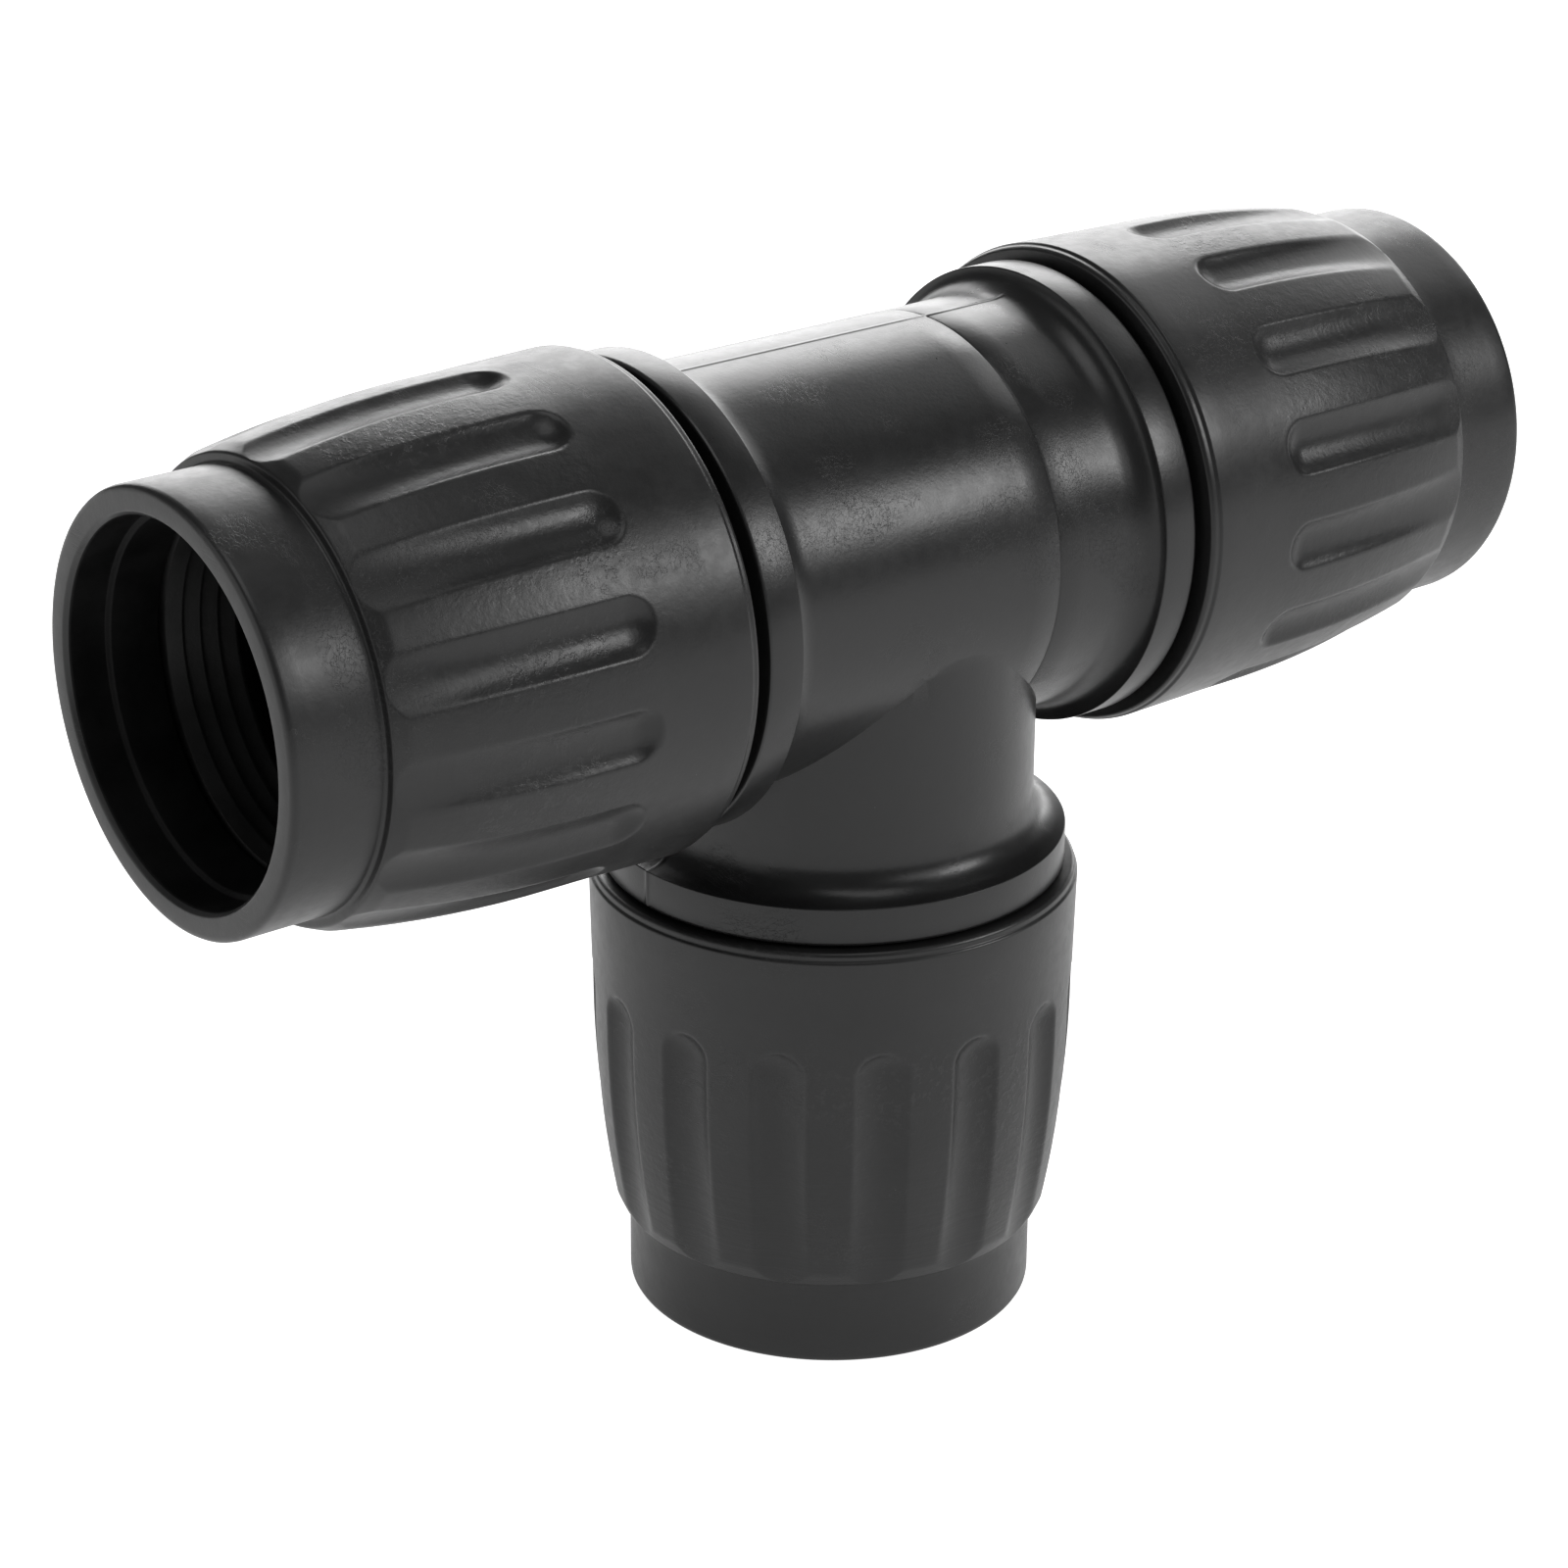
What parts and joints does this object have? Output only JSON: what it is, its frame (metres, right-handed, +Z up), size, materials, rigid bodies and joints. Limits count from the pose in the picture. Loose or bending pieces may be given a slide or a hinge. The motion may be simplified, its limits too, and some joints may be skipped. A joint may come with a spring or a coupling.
{
  "type": "barbed tee connector",
  "caption": "Tee connector for soft irrigation tube: a moulded body with threaded, barbed legs and a fluted clamping nut on each.",
  "frame": {"origin": "on the branch axis in the plane of the branch nut's mouth, which stands on the table", "axes": "+X along the run from the left leg to the right leg, +Z up the branch axis towards the run, +Y away from the viewer, square to both legs"},
  "size_m": [0.0796, 0.0262, 0.0557],
  "materials": {
    "body_plastic": "satin black moulded plastic",
    "nut_plastic": "satin black moulded plastic, scuffed on the lands",
    "grip_plastic": "black acetal",
    "seal_rubber": "black rubber"
  },
  "bodies": {
    "tee": {"tee_body": "body_plastic", "thrust_bush_left": "grip_plastic", "seal_ring_left": "seal_rubber", "thrust_bush_right": "grip_plastic", "seal_ring_right": "seal_rubber", "thrust_bush_branch": "grip_plastic", "seal_ring_branch": "seal_rubber"},
    "grip_left": {"grip_ring_left": "grip_plastic"},
    "nut_left": {"nut_left": "nut_plastic"},
    "grip_right": {"grip_ring_right": "grip_plastic"},
    "nut_right": {"nut_right": "nut_plastic"},
    "grip_branch": {"grip_ring_branch": "grip_plastic"},
    "nut_branch": {"nut_branch": "nut_plastic"}
  },
  "joints": [
    {"name": "grip_slide_left", "type": "slide", "parent": "tee", "child": "grip_left", "axis": [-1, 0, 0], "range_m": [0, 0.0075]},
    {"name": "nut_turn_left", "type": "hinge", "parent": "grip_left", "child": "nut_left", "pos_m": [-0.02499, 0, 0.04264], "axis": [-1, 0, 0], "range_deg": [0, 1080]},
    {"name": "grip_slide_right", "type": "slide", "parent": "tee", "child": "grip_right", "axis": [1, 0, 0], "range_m": [0, 0.0075]},
    {"name": "nut_turn_right", "type": "hinge", "parent": "grip_right", "child": "nut_right", "pos_m": [0.02457, 0, 0.04264], "axis": [1, 0, 0], "range_deg": [0, 1080]},
    {"name": "grip_slide_branch", "type": "slide", "parent": "tee", "child": "grip_branch", "axis": [0, 0, -1], "range_m": [0, 0.0075]},
    {"name": "nut_turn_branch", "type": "hinge", "parent": "grip_branch", "child": "nut_branch", "pos_m": [0, 0, 0.015], "axis": [0, 0, -1], "range_deg": [0, 1080]}
  ],
  "couplings": [
    {"joint": "grip_slide_left", "follows": "nut_turn_left", "m_per_rad": 0.00039789},
    {"joint": "grip_slide_right", "follows": "nut_turn_right", "m_per_rad": 0.00039789},
    {"joint": "grip_slide_branch", "follows": "nut_turn_branch", "m_per_rad": 0.00039789}
  ]
}
